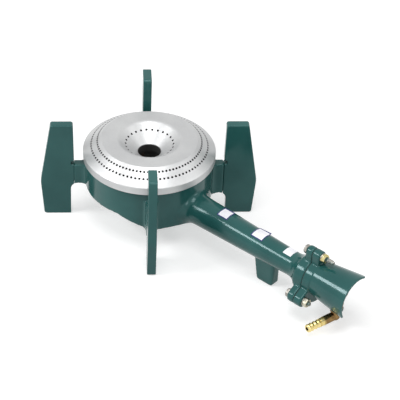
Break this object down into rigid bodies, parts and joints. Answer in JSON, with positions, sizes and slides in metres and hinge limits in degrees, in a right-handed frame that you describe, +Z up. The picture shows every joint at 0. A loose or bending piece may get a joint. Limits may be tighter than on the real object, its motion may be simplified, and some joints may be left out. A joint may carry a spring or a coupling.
{
  "type": "cast iron gas burner",
  "caption": "Low cast iron gas burner with a round bowl, a lift-off drilled cap, plate legs that carry the pot, and a tapered gas and air tube with a bolted mixer bell and hose elbow.",
  "frame": {"origin": "floor level, under the middle of the whole burner's bounding box", "axes": "+X along the gas tube from the bowl to the mixer bell, +Y to the left when looking along +X, +Z up"},
  "size_m": [0.4308, 0.1986, 0.134],
  "materials": {
    "enamel": "cast iron under glossy dark green enamel",
    "cap_silver": "cast iron under silver heat resistant paint",
    "steel": "plain plated steel",
    "brass": "turned brass, bright at the hose end",
    "gasket": "pressed fibre sheet"
  },
  "bodies": {
    "burner": {"burner_body": "enamel", "front_left_leg": "enamel", "front_right_leg": "enamel", "rear_left_leg": "enamel", "rear_right_leg": "enamel", "flange_gasket": "gasket", "mixer_bell": "enamel", "flange_bolt_top": "steel", "flange_bolt_left": "steel", "flange_bolt_right": "steel", "flange_washer_top": "steel", "flange_washer_left": "steel", "flange_washer_right": "steel", "flange_nut_top": "brass", "flange_nut_left": "brass", "flange_nut_right": "brass", "hose_elbow": "brass", "elbow_seal": "gasket", "elbow_lock_nut": "brass", "gas_jet": "brass"},
    "cap": {"burner_cap": "cap_silver"}
  },
  "joints": [
    {"name": "cap_lift", "type": "slide", "parent": "burner", "child": "cap", "axis": [0, 0, 1], "range_m": [0, 0.06]}
  ]
}
